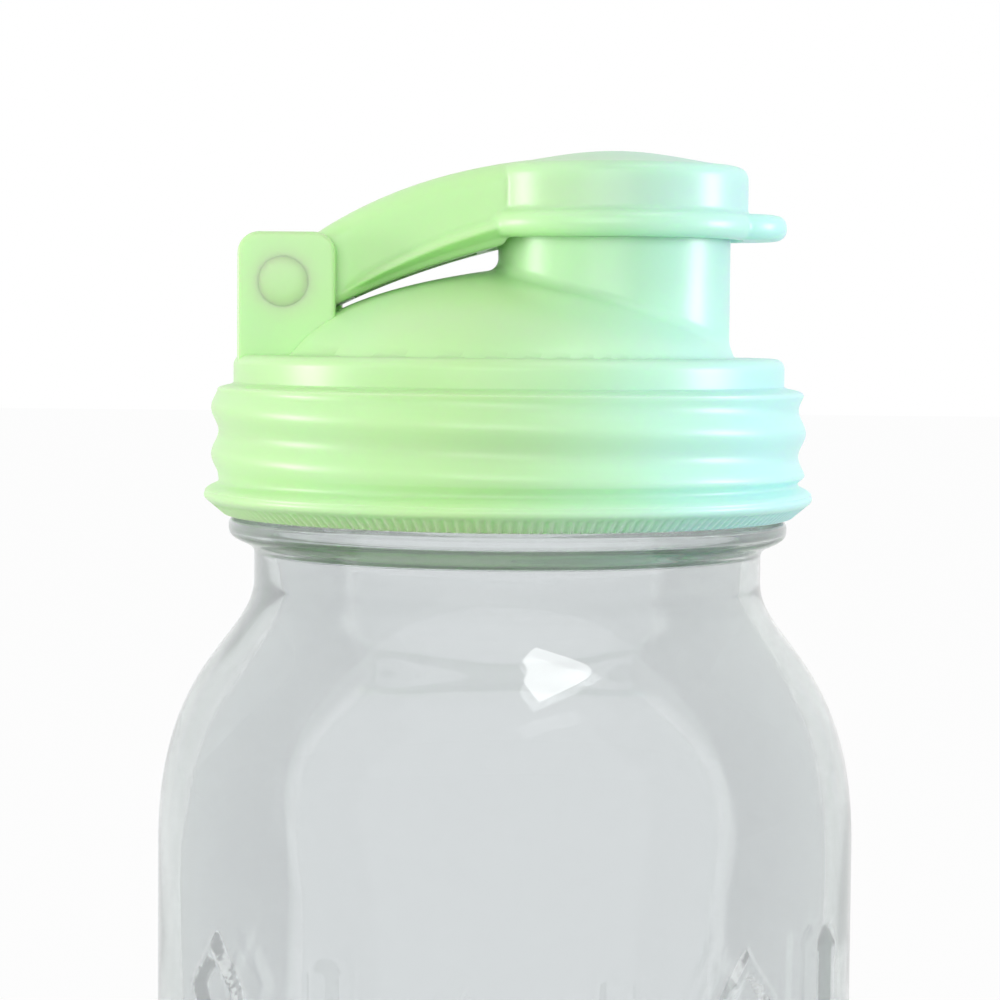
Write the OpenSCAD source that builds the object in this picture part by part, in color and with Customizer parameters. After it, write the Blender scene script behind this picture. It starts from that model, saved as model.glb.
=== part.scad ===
// Glass jar with a screw-on flip-top pour lid.
// Origin: centre of the base on the surface it stands on. +Z up, +X from the axis towards the spout.

/* [Jar] */
// Height from the base to the glass rim
jar_h = 172; // [140:1:230]
// Outer radius of the straight body
body_r = 44.5; // [42:0.5:54]
// Wall thickness of the body
wall_t = 3; // [2.4:0.1:3.6]
// Thickness of the base under the inside floor
base_t = 6; // [5:0.5:9]
// Radius of the rounded heel between the base and the body
heel_r = 9; // [6:0.5:11]
// Height of the hollow push-up under the base
pushup_h = 2.5; // [1.5:0.1:3.5]

/* [Neck] */
// Outer radius of the threaded wall, at the root of the thread
finish_r = 33.2; // [30:0.2:36]
// Outer radius of the plain neck below the neck ring
neck_r = 32.4; // [31.8:0.1:32.8]
// Wall thickness of the neck
neck_wall = 3.2; // [2.4:0.1:3.6]
// How far the neck ring stands out from the threaded wall
ring_stand = 2.45; // [1.8:0.05:2.6]
// Distance of the ring's widest edge below the rim
ring_drop = 17.7; // [17.6:0.1:19]

/* [Thread] */
// Rise of the thread in one turn
pitch = 6.35; // [5:0.05:7]
// Height of the glass thread above its wall
glass_thread_h = 1.5; // [1.2:0.1:1.6]
// Width of each thread at its root
thread_w = 2.4; // [1.8:0.1:2.6]
// Turns of the thread on the glass
glass_turns = 1.35; // [1:0.05:1.5]
// Turns of the thread in the lid
lid_turns = 1.1; // [0.6:0.05:1.2]
// Gap between the tip of each thread and the wall it faces
thread_gap = 0.45; // [0.35:0.05:0.6]

/* [Lid] */
// Thickness of the soft liner on the glass rim
liner_t = 0.8; // [0.6:0.1:2]
// Thickness of the lid's flat ledge
ledge_t = 2; // [1.6:0.1:3]
// Wall thickness of the lid's top band
band_wall = 1.5; // [1.2:0.1:2]
// Height of the straight top band
band_h = 3.5; // [2.5:0.1:4.5]
// How far the ribs stand out from the top band
rib_stand = 2.8; // [2.2:0.1:3.2]
// Depth of the groove between the ribs
groove_d = 0.9; // [0.4:0.1:1]
// How far the flared hem stands out from the top band
hem_stand = 3.7; // [2.9:0.1:4.2]
// Height of the whole skirt below the ledge
skirt_h = 20.2; // [20:0.1:20.3]
// Thickness of the dome and spout walls
shell_t = 1.7; // [1.4:0.1:2.2]
// Radius of the dome where it leaves the ledge
dome_r = 28.7; // [27.5:0.1:29.2]
// Height of the dome's top above the ledge
dome_h = 11.3; // [9:0.1:11.6]

/* [Spout] */
// Outer radius of the spout
spout_r = 14.8; // [12:0.1:15.2]
// Distance of the spout's axis from the jar's axis
spout_x = 13.3; // [11:0.1:13.6]
// Height of the spout's lip above the ledge
spout_h = 20.2; // [19.5:0.1:21]

/* [Hinge] */
// Distance of the hinge axis from the jar's axis
hinge_x = 28.3; // [28:0.1:29.5]
// Height of the hinge axis above the ledge
hinge_z = 9.2; // [9:0.1:9.8]
// Length of each ear along the lid
ear_l = 12.2; // [11:0.1:13]
// Height of the ears above the ledge
ear_h = 15.4; // [15:0.1:17]
// Thickness of each ear
ear_t = 3; // [2.4:0.1:4]
// Distance between the two ears
ear_gap = 12; // [10:0.2:13]
// Radius of the hinge pin
pin_r = 3.1; // [2:0.1:3.4]
// How far each end of the pin stands out of its ear
pin_stand = 0.3; // [0.2:0.1:0.8]

/* [Cap] */
// Gap between the spout and the cap's side wall
cap_gap = 1.1; // [0.9:0.1:1.6]
// Height of the cap's side above the ledge
cap_side_z = 24.2; // [24:0.1:26]
// Height of the cap's domed top above the ledge
cap_top_z = 26.2; // [26:0.1:29]
// Height of the cap's open edge above the ledge
cap_edge_z = 14.9; // [14.6:0.1:15.2]
// Thickness of the cap's side wall
cap_wall = 1.1; // [0.9:0.05:1.2]
// Thickness of the rim flange round the cap
flange_t = 3.3; // [2.4:0.1:3.6]
// How far the rim flange stands out from the cap
flange_stand = 1.4; // [0.8:0.1:2]
// Distance of the thumb tab's tip from the cap's axis
tab_reach = 22; // [20:0.2:25]
// Width of the thumb tab
tab_w = 17; // [12:0.5:20]
// Thickness of the spout seal
seal_t = 1.8; // [1.2:0.1:2]
// Half the width of the arm where it joins the cap
arm_half = 11; // [9:0.2:12]

/* [Hidden] */
$fn = 96;
MINT = "#c6f3b6";
eps = 0.01;

fit_gap = 0.06;                                  // running clearance on the pin's radius
press_gap = 0.02;                                // clearance where the pin is held in the ears
seat_gap = 0.1;                                  // between the liner and the faces it seals
side_gap = 0.3;                                  // between the arm's knuckle and each ear
swing_gap = 1.4;                                 // from the ears to where the arm starts to widen
seal_gap = 0.25;                                 // between the spout's lip and its seal

mouth_r = finish_r - neck_wall;                  // inside of the mouth
neck_in_r = neck_r - neck_wall + 0.2;            // inside of the plain neck
body_in_r = body_r - wall_t;
ring_r = finish_r + ring_stand;
ring_z = jar_h - ring_drop;
ring_h = 3.7;                                    // height of the ring below its widest edge
ring_edge_h = 1.3;                               // height of the ring's widest edge
neck_z = jar_h - ring_drop - ring_h - 4.1;       // where the shoulder begins
shoulder_h = 33.5;                               // height of the whole shoulder
base_ring_r = body_r - heel_r;                   // where the jar touches the surface
lip_round = 1.1;                                 // rounding of the glass rim

glass_tip_r = finish_r + glass_thread_h;
lid_in_r = glass_tip_r + thread_gap;             // inside of the skirt beside the thread
lid_tip_r = finish_r + thread_gap;               // tip of the lid's own thread
band_in_r = finish_r + 0.4;                      // inside of the top band
band_r = band_in_r + band_wall;
tip_w = thread_w / 2;                            // width of a thread at its tip
thread_low = jar_h - 13.5;                       // lower end of the glass thread
thread_offset = tip_w / 2 + thread_w / 2 + 0.25; // lid thread below the glass thread
thread_step = 8;                                 // degrees between two rings of a thread
thread_fade = 24;                                // degrees in which a thread's end sinks away
thread_root = 0.5;                               // how deep a thread is rooted in its wall

ledge_z = jar_h + liner_t + 2 * seat_gap + ledge_t;
under_z = ledge_z - ledge_t;                     // underside of the ledge
skirt_z = ledge_z - skirt_h;
thread_top = ledge_z - band_h - 2;               // where the skirt's inside narrows to the top band
hem_z = skirt_z + 2.2;                           // widest edge of the flared hem
rib_low = hem_z + 2.3;                           // groove above the hem
ribs = 2;
rib_h = (ledge_z - band_h - 0.5 - rib_low) / ribs;

ear_x = hinge_x + 5.7;                           // outer edge of the ears
ear_y = ear_gap / 2 + ear_t;                     // outer face of each ear
ear_round = 2.6;
knuckle_r = pin_r + 1.9;
hinge_at = [-hinge_x, 0, ledge_z + hinge_z];

cap_in_r = spout_r + cap_gap;
cap_r = cap_in_r + cap_wall;
seal_z = ledge_z + spout_h + seal_gap;
seal_r = spout_r - 0.6;
flange_r = cap_r + flange_stand;
flange_top = cap_edge_z + flange_t;
cap_cut = 2;                                     // how far below its edge the cap's hollow cuts the arm
arm_foot = 2.3 - hinge_x;                        // where the arm's curves start, over the knuckle
arm_join = 3;                                    // where the arm's curves end, beyond the jar's axis
arm_wall = 1.9;                                  // wall of the hollow arm

function lerp(a, b, t) = a + (b - a) * t;
function curve3(a, b, c, t) = lerp(lerp(a, b, t), lerp(b, c, t), t);
function curve4(a, b, c, d, t) = lerp(curve3(a, b, c, t), curve3(b, c, d, t), t);
function arc(c, r, from, to, n = 6) =
    [for (i = [0:n]) let (a = lerp(from, to, i / n)) c + r * [cos(a), sin(a)]];

// A thread as one ridge along a helix. side is 1 where it stands outwards and -1 where inwards.
module thread(root_r, tip_r, z_low, from_turn, turns, side) {
    n = ceil(turns * 360 / thread_step);
    function ring(i) =
        let (a = from_turn * 360 + i * turns * 360 / n,
             left = min(i, n - i) * turns * 360 / n,
             grow = min(1, left / thread_fade),
             z = z_low + pitch * a / 360,
             r0 = root_r - side * thread_root,
             r1 = lerp(root_r - side * thread_root / 2, tip_r, grow),
             u = [cos(a), sin(a)])
        [concat(r0 * u, [z - thread_w / 2]), concat(r1 * u, [z - tip_w / 2]),
         concat(r1 * u, [z + tip_w / 2]), concat(r0 * u, [z + thread_w / 2])];
    points = [for (i = [0:n]) each ring(i)];
    faces = concat(
        [[0, 1, 2, 3]],
        [for (i = [0:n - 1]) for (k = [0:3])
            [4 * i + k, 4 * i + 4 + k, 4 * i + 4 + (k + 1) % 4, 4 * i + (k + 1) % 4]],
        [[4 * n + 3, 4 * n + 2, 4 * n + 1, 4 * n]]);
    turned = side < 0 ? faces : [for (f = faces) [for (k = [len(f) - 1:-1:0]) f[k]]];
    polyhedron(points, turned, convexity = 8);
}

module jar_outline() {
    shoulder_low = neck_z - shoulder_h;
    polygon(concat(
        [[0, pushup_h], [base_ring_r - 6, pushup_h * 0.7], [base_ring_r - 3, 0.4], [base_ring_r - 2, 0]],
        arc([body_r - heel_r, heel_r], heel_r, -90, 0, 9),
        [for (i = [0:14]) curve4([body_r, shoulder_low], [body_r, shoulder_low + 23.5],
            [neck_r + 0.2, neck_z - 8], [neck_r, neck_z], i / 14)],
        [[neck_r, ring_z - ring_h], [ring_r - 0.7, ring_z - 2.2], [ring_r, ring_z - ring_edge_h],
         [ring_r, ring_z - 0.3], [ring_r - 0.3, ring_z], [finish_r, ring_z + 1]],
        arc([finish_r - lip_round, jar_h - lip_round], lip_round, 0, 90, 4),
        arc([mouth_r + lip_round, jar_h - lip_round], lip_round, 90, 180, 4),
        [[mouth_r, ring_z + 2], [neck_in_r, ring_z - 1]],
        [for (i = [0:12]) curve4([neck_in_r, neck_z - 1], [neck_in_r, neck_z - 10],
            [body_in_r, shoulder_low + 22], [body_in_r, shoulder_low], i / 12)],
        arc([body_in_r - heel_r + 1, base_t + heel_r - 1], heel_r - 1, 0, -90, 8),
        [[0, base_t + 1.5]]));
}

module glass_jar() {
    color("#dfe8e6", 0.4) {
        rotate_extrude() jar_outline();
        thread(finish_r, glass_tip_r, thread_low, 0, glass_turns, 1);
    }
}

module rim_liner() {
    color("#f2f2ee") translate([0, 0, jar_h + seat_gap]) difference() {
        cylinder(h = liner_t, r = band_in_r - seat_gap);
        translate([0, 0, -eps]) cylinder(h = liner_t + 2 * eps, r = mouth_r);
    }
}

// Outside of the skirt, from the hem up to the ledge
function skirt_points() = concat(
    [[band_r + 1.3, skirt_z], [band_r + hem_stand, hem_z - 0.3], [band_r + hem_stand, hem_z + 0.5],
     [band_r + rib_stand, hem_z + 1.4]],
    [for (i = [0:6 * ribs]) [band_r + rib_stand - groove_d * (1 + cos(60 * i)) / 2, rib_low + i * rib_h / 6]],
    [[band_r, ledge_z - band_h]],
    arc([band_r - 1.3, ledge_z - 1.3], 1.3, 0, 90, 4));

function dome_points(shrink) =
    [for (i = [0:10]) curve4([dome_r - shrink, ledge_z - eps], [dome_r - 3.4 - shrink, ledge_z + 5.9 - shrink],
        [dome_r - 14 - shrink, ledge_z + dome_h - 1.9 - shrink], [0, ledge_z + dome_h - shrink], i / 10)];

module lid_outside() {
    rotate_extrude() polygon(concat([[0, skirt_z]], skirt_points(), dome_points(0)));
    spout_outside();
    for (s = [-1, 1]) ear(s);
}

module spout_outside() {
    translate([spout_x, 0, under_z]) cylinder(h = spout_h + ledge_t, r = spout_r);
}

// One hinge ear: a rounded plate that stands on the ledge and stops inside the first rib
module ear(s) {
    low = thread_top;
    high = ledge_z + ear_h;
    inner = ear_l - ear_x;
    translate([0, s * (ear_gap + ear_t) / 2 + ear_t / 2, 0]) rotate([90, 0, 0])
        linear_extrude(ear_t) polygon(concat(
            [[-ear_x, low], [inner, low]],
            arc([inner - ear_round, high - ear_round], ear_round, 0, 90),
            arc([ear_round - ear_x, high - ear_round], ear_round, 90, 180)));
}

module lid_inside() {
    rotate_extrude() polygon(concat(
        [[0, skirt_z - eps], [lid_in_r, skirt_z - eps], [lid_in_r, thread_top],
         [band_in_r, thread_top + 1.5], [band_in_r, under_z], [dome_r - shell_t, under_z]],
        dome_points(shell_t)));
    translate([spout_x, 0, under_z - 1]) cylinder(h = spout_h + ledge_t + 2, r = spout_r - shell_t);
    translate([0, ear_y + 1, 0]) hinge_line() cylinder(h = 2 * ear_y + 2, r = pin_r + press_gap);
}

// Carries its children to the hinge axis, laid along -Y
module hinge_line() {
    translate(hinge_at) rotate([90, 0, 0]) children();
}

module lid_body() {
    color(MINT) {
        difference() {
            lid_outside();
            lid_inside();
        }
        thread(lid_in_r, lid_tip_r, thread_low - thread_offset, 0.1, lid_turns, -1);
    }
}

module hinge_pin() {
    length = 2 * (ear_y + pin_stand);
    color(MINT) translate([0, length / 2, 0]) hinge_line() rotate_extrude()
        polygon([[0, 0], [pin_r - 0.5, 0], [pin_r, 0.25], [pin_r, length - 0.25],
                 [pin_r - 0.5, length], [0, length]]);
}

// Side view of the arm, up to its top (upper) or only to the top of its lower flange
module arm_side(upper) {
    polygon(concat(
        [for (i = [0:10]) curve3([arm_foot, hinge_z - 5], [-13.5, 11.2], [arm_join, cap_edge_z], i / 10)],
        [for (i = [10:-1:0]) upper ?
            curve3([arm_foot, hinge_z + 5.2], [-14, cap_side_z - 1.2], [arm_join, cap_side_z + 0.4], i / 10) :
            curve3([arm_foot, hinge_z - 4.2], [-14, 14.5], [arm_join, flange_top], i / 10)]));
}

// Plan of the arm, from between the ears out to the cap
module arm_plan(stand) {
    root = ear_gap / 2 - side_gap;
    ear_end = ear_l - ear_x + swing_gap;
    half = arm_half + stand;
    flare = [for (i = [0:6]) curve3([ear_end, root], [ear_end + 6, root + stand + 1],
        [spout_x - cap_r * 0.6, half], i / 6)];
    polygon(concat([[-hinge_x, root]], flare, [[spout_x, half], [spout_x, -half]],
        [for (i = [6:-1:0]) [flare[i][0], -flare[i][1]]], [[-hinge_x, -root]]));
}

// A bar of the arm: its side view drawn through its plan
module arm_bar(upper, stand) {
    reach = arm_half + 4;
    translate([0, 0, ledge_z]) intersection() {
        translate([0, reach, 0]) rotate([90, 0, 0]) linear_extrude(2 * reach) arm_side(upper);
        linear_extrude(cap_top_z + 4) arm_plan(stand);
    }
}

module cap_outside() {
    crown = cap_top_z - cap_side_z;
    translate([spout_x, 0, ledge_z]) rotate_extrude() polygon(concat(
        [[0, cap_edge_z]],
        arc([flange_r - 1.4, cap_edge_z + 1.4], 1.4, -90, 0, 4),
        arc([flange_r - 1.4, flange_top - 1.4], 1.4, 0, 90, 4),
        [[cap_r, flange_top]],
        arc([cap_r - 1.2, cap_side_z - 1.2], 1.2, 0, 80, 4),
        [for (i = [1:5]) let (t = i / 5) [lerp(cap_r - 1.2, 0, t), cap_side_z + crown * sin(90 * t)]]));
    thumb_tab();
}

module thumb_tab() {
    translate([spout_x, 0, ledge_z + cap_edge_z]) linear_extrude(flange_t) {
        translate([0, -tab_w / 2]) square([tab_reach - tab_w / 2, tab_w]);
        translate([tab_reach - tab_w / 2, 0]) circle(tab_w / 2);
    }
}

module cap_inside() {
    translate([spout_x, 0, ledge_z + cap_edge_z - cap_cut])
        cylinder(h = seal_z + seal_t - ledge_z - cap_edge_z + cap_cut, r = cap_in_r);
}

module flip_cap() {
    color(MINT) difference() {
        union() {
            cap_outside();
            arm_bar(true, 0);
            arm_bar(false, flange_stand * 0.6);
            translate([0, ear_gap / 2 - side_gap, 0]) hinge_line()
                cylinder(h = ear_gap - 2 * side_gap, r = knuckle_r);
        }
        cap_inside();
        arm_hollow();
        translate([0, ear_y, 0]) hinge_line() cylinder(h = 2 * ear_y, r = pin_r + fit_gap);
    }
}

// The arm is a channel, open underneath, from beside the ears to the cap's own wall
module arm_hollow() {
    from = ear_l - ear_x + arm_wall;
    half = ear_gap / 2 - side_gap - arm_wall;
    translate([0, 0, ledge_z]) difference() {
        translate([0, half, 0]) rotate([90, 0, 0]) linear_extrude(2 * half)
            polygon(concat(
                [[arm_join, 0], [from, 0]],
                [for (i = [0:10]) curve3([from, hinge_z + 2.4], [-14, cap_side_z - 1.2 - 2 * arm_wall],
                    [arm_join, cap_side_z + 0.4 - 2 * arm_wall], i / 10)]));
        translate([spout_x, 0, 0]) cylinder(h = cap_top_z, r = cap_r);
    }
}

module spout_seal() {
    color("#f2f2ee") translate([spout_x, 0, seal_z]) cylinder(h = seal_t, r = seal_r);
}

glass_jar();
rim_liner();
lid_body();
hinge_pin();
flip_cap();
spout_seal();
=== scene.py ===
"""Looks of the flip-top pour jar, built round its packed construction model."""
from __future__ import annotations

import logging
import math
from dataclasses import dataclass
from enum import Enum
from typing import Callable, Sequence

import bpy
import numpy as np
from mathutils import Matrix, Vector


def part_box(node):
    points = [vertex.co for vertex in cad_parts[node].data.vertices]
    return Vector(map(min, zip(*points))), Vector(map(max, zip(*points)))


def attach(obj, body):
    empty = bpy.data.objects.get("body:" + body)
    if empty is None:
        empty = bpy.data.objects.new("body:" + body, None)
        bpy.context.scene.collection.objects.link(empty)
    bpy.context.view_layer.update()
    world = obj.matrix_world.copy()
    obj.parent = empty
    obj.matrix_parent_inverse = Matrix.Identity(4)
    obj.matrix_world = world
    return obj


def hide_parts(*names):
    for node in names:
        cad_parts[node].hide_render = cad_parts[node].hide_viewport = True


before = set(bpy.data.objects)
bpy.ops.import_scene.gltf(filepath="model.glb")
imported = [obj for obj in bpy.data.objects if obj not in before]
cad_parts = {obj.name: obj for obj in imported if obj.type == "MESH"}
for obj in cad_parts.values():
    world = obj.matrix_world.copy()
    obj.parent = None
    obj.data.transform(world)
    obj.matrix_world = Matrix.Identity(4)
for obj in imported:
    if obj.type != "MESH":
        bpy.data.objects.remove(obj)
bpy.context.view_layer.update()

MM = 0.001
CREASE = 38.0
LID_CREASE = 42.0
LOG = logging.getLogger("pour_jar")
Points = Sequence[tuple[float, float]]
Rings = list[np.ndarray]


class Body(str, Enum):
    """The rigid bodies that the new pieces ride on."""

    JAR = "jar"
    LID = "lid"
    CAP = "cap"


class Slot(str, Enum):
    """The names of the record's material slots for the new pieces."""

    GLASS = "clear_glass"
    PLASTIC = "mint_plastic"


class Join(str, Enum):
    """How two closed meshes are combined."""

    ADD = "UNION"
    CUT = "DIFFERENCE"


# ---------------------------------------------------------------- curves and numbers


def lerp(a: float, b: float, t: float) -> float:
    """Returns the value a share t of the way from a to b."""
    return a + (b - a) * t


def smooth_step(low: float, high: float, x: np.ndarray | float) -> np.ndarray:
    """Rises smoothly from 0 at low to 1 at high.

    Args:
        low: where the rise starts.
        high: where the rise ends.
        x: the value or values to weigh.

    Returns:
        The weights, from 0 to 1.
    """
    t = np.clip((np.asarray(x, float) - low) / (high - low), 0.0, 1.0)
    return t * t * (3 - 2 * t)


def bezier(corners: Points, count: int) -> list[tuple[float, float]]:
    """Samples a Bezier curve of any degree.

    Args:
        corners: its control points.
        count: how many steps to take.

    Returns:
        count + 1 points along the curve.
    """
    samples = []
    for step in range(count + 1):
        t = step / count
        level = [tuple(corner) for corner in corners]
        while len(level) > 1:
            level = [(lerp(a[0], b[0], t), lerp(a[1], b[1], t)) for a, b in zip(level, level[1:])]
        samples.append(level[0])
    return samples


def arc(x: float, y: float, radius: float, start: float, end: float,
        count: int = 6) -> list[tuple[float, float]]:
    """Samples a circular arc.

    Args:
        x: centre across.
        y: centre up.
        radius: radius of the arc.
        start: first angle in degrees.
        end: last angle in degrees.
        count: how many steps to take.

    Returns:
        count + 1 points along the arc.
    """
    angles = [math.radians(lerp(start, end, i / count)) for i in range(count + 1)]
    return [(x + radius * math.cos(a), y + radius * math.sin(a)) for a in angles]


def refine(points: Points, step: float) -> np.ndarray:
    """Adds points along the straight stretches of an outline, so that none is longer than step.

    Args:
        points: the outline's points.
        step: longest distance allowed between two points.

    Returns:
        The finer outline, as rows of x and y.
    """
    fine = [points[0]]
    for a, b in zip(points, points[1:]):
        parts = max(1, math.ceil(math.dist(a, b) / step))
        fine += [(lerp(a[0], b[0], i / parts), lerp(a[1], b[1], i / parts)) for i in range(1, parts + 1)]
    return np.array(fine)


def close_and_refine(outline: list[tuple[float, float]]) -> np.ndarray:
    """Adds points along every side of a closed outline, so that no side is longer than 1 mm."""
    return refine(outline + outline[:1], 1.0)[:-1]


def curve_height(points: Points) -> Callable[[np.ndarray], np.ndarray]:
    """Turns a sampled curve into a function of its first coordinate.

    Args:
        points: samples of the curve, in any order along it.

    Returns:
        A function that gives the second coordinate at each first coordinate.
    """
    table = np.array(sorted(points))
    return lambda x: np.interp(x, table[:, 0], table[:, 1])


# ---------------------------------------------------------------- meshes


def new_object(name: str, vertices: np.ndarray, faces: Sequence[Sequence[int]],
               crease: float = CREASE) -> bpy.types.Object:
    """Makes a smooth-shaded mesh object.

    Args:
        name: the object's name.
        vertices: rows of x, y and z in millimetres.
        faces: vertex numbers of each face.
        crease: edges sharper than this many degrees stay crisp.

    Returns:
        The new object, linked to the scene.
    """
    mesh = bpy.data.meshes.new(name)
    mesh.from_pydata((np.asarray(vertices) * MM).tolist(), [], [tuple(int(v) for v in f) for f in faces])
    mesh.validate()
    mesh.update()
    obj = bpy.data.objects.new(name, mesh)
    bpy.context.scene.collection.objects.link(obj)
    shade(obj, crease)
    return obj


def shade(obj: bpy.types.Object, crease: float) -> None:
    """Shades an object smooth, with crisp edges only where it bends by more than crease degrees."""
    obj.data.shade_smooth()
    obj.data.set_sharp_from_angle(angle=math.radians(crease))


def loft(name: str, rings: Rings, closed: bool = False, crease: float = CREASE) -> bpy.types.Object:
    """Skins a row of rings that have as many points each.

    Args:
        name: the object's name.
        rings: arrays of x, y and z in millimetres; a ring of one point closes an end.
        closed: True where the last ring joins the first.
        crease: edges sharper than this many degrees stay crisp.

    Returns:
        The skinned object.
    """
    starts = np.cumsum([0] + [len(ring) for ring in rings])
    faces = []
    pairs = list(zip(range(len(rings)), range(1, len(rings))))
    if closed:
        pairs.append((len(rings) - 1, 0))
    for low, high in pairs:
        a, b = starts[low], starts[high]
        count = max(len(rings[low]), len(rings[high]))
        for k in range(count):
            n = (k + 1) % count
            if len(rings[low]) == 1:
                faces.append((a, b + n, b + k))
            elif len(rings[high]) == 1:
                faces.append((a + k, a + n, b))
            else:
                faces.append((a + k, a + n, b + n, b + k))
    for end, turn in ((0, -1), (len(rings) - 1, 1)):
        if not closed and len(rings[end]) > 1:
            faces.append(tuple(range(starts[end], starts[end] + len(rings[end])))[::turn])
    return new_object(name, np.vstack(rings), faces, crease)


def revolve_rings(profile: np.ndarray, angles: np.ndarray, grow: Callable | None = None) -> Rings:
    """Turns a profile about the Z axis.

    Args:
        profile: rows of radius and height; a radius of 0 becomes one point.
        angles: the angles of each ring's points, in radians.
        grow: gives what to add to the radius from angles, radius, height and the row's number.

    Returns:
        One ring for each row of the profile.
    """
    rings = []
    for row, (radius, height) in enumerate(profile):
        if radius < 1e-6:
            rings.append(np.array([[0.0, 0.0, height]]))
            continue
        r = radius + (grow(angles, radius, height, row) if grow else 0.0) + np.zeros_like(angles)
        rings.append(np.column_stack([r * np.cos(angles), r * np.sin(angles), np.full_like(angles, height)]))
    return rings


def slab(name: str, outline: np.ndarray, low: float, high: float, edge: float) -> bpy.types.Object:
    """Makes a plate with rounded edges from an outline in the XY plane.

    Args:
        name: the object's name.
        outline: rows of x and y, counter-clockwise.
        low: height of the lower face.
        high: height of the upper face.
        edge: radius of the rounded edges.

    Returns:
        The plate.
    """
    ahead = np.roll(outline, -1, axis=0) - np.roll(outline, 1, axis=0)
    normal = np.column_stack([ahead[:, 1], -ahead[:, 0]]) / np.linalg.norm(ahead, axis=1)[:, None]
    rings = []
    for centre, start, end in ((low + edge, -90, 0), (high - edge, 0, 90)):
        for out, height in arc(0, centre, edge, start, end, 5):
            flat = outline + normal * (out - edge)
            rings.append(np.column_stack([flat, np.full(len(flat), height)]))
    return loft(name, rings)


def combine(obj: bpy.types.Object, other: bpy.types.Object, how: Join) -> None:
    """Adds another closed mesh to obj or cuts it out, and deletes the other.

    Args:
        obj: the object that changes.
        other: the object that is used up.
        how: whether other is added or cut out.
    """
    modifier = obj.modifiers.new("combine", "BOOLEAN")
    modifier.solver = "MANIFOLD"
    modifier.operation = how.value
    modifier.object = other
    freeze(obj)
    bpy.data.objects.remove(other, do_unlink=True)


def freeze(obj: bpy.types.Object) -> None:
    """Replaces an object's mesh by what its modifiers make of it, and drops the modifiers."""
    graph = bpy.context.evaluated_depsgraph_get()
    mesh = bpy.data.meshes.new_from_object(obj.evaluated_get(graph))
    obj.modifiers.clear()
    obj.data = mesh


def melt(obj: bpy.types.Object, voxel: float, rounds: int) -> None:
    """Fuses overlapping shells into one skin with softly rounded edges, as a mould gives.

    Args:
        obj: the object to fuse.
        voxel: size of the skin's cells in millimetres.
        rounds: how often the skin is smoothed.
    """
    remesh = obj.modifiers.new("fuse", "REMESH")
    remesh.mode = "VOXEL"
    remesh.voxel_size = voxel * MM
    remesh.use_smooth_shade = True
    soften = obj.modifiers.new("soften", "SMOOTH")
    soften.factor = 0.5
    soften.iterations = rounds
    freeze(obj)


def gather(objects: Sequence[bpy.types.Object]) -> bpy.types.Object:
    """Joins the meshes of several objects into the first one, and returns it."""
    with bpy.context.temp_override(active_object=objects[0], selected_editable_objects=list(objects)):
        bpy.ops.object.join()
    return objects[0]


# ---------------------------------------------------------------- finishes


def colour(code: str) -> tuple[float, float, float, float]:
    """Turns an sRGB hex code into a linear colour with full alpha."""
    parts = [int(code.lstrip("#")[i:i + 2], 16) / 255 for i in (0, 2, 4)]
    linear = [c / 12.92 if c <= 0.04045 else ((c + 0.055) / 1.055) ** 2.4 for c in parts]
    return (linear[0], linear[1], linear[2], 1.0)


def add_node(tree: bpy.types.NodeTree, kind: str, inputs: dict | None = None, **settings) -> bpy.types.Node:
    """Adds a node, sets its properties, and fills or links its inputs.

    Args:
        tree: the node tree.
        kind: the node's type name.
        inputs: a value or an output socket for each input, by name or number.
        settings: properties of the node.

    Returns:
        The new node.
    """
    node = tree.nodes.new(kind)
    for name, value in settings.items():
        setattr(node, name, value)
    for name, value in (inputs or {}).items():
        if isinstance(value, bpy.types.NodeSocket):
            tree.links.new(value, node.inputs[name])
        else:
            node.inputs[name].default_value = value
    return node


def new_material(name: str) -> tuple[bpy.types.Material, bpy.types.NodeTree, bpy.types.Node]:
    """Makes an empty node material and returns it with its tree and its output node."""
    material = bpy.data.materials.new(name)
    material.use_nodes = True
    material.node_tree.nodes.clear()
    return material, material.node_tree, add_node(material.node_tree, "ShaderNodeOutputMaterial")


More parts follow.
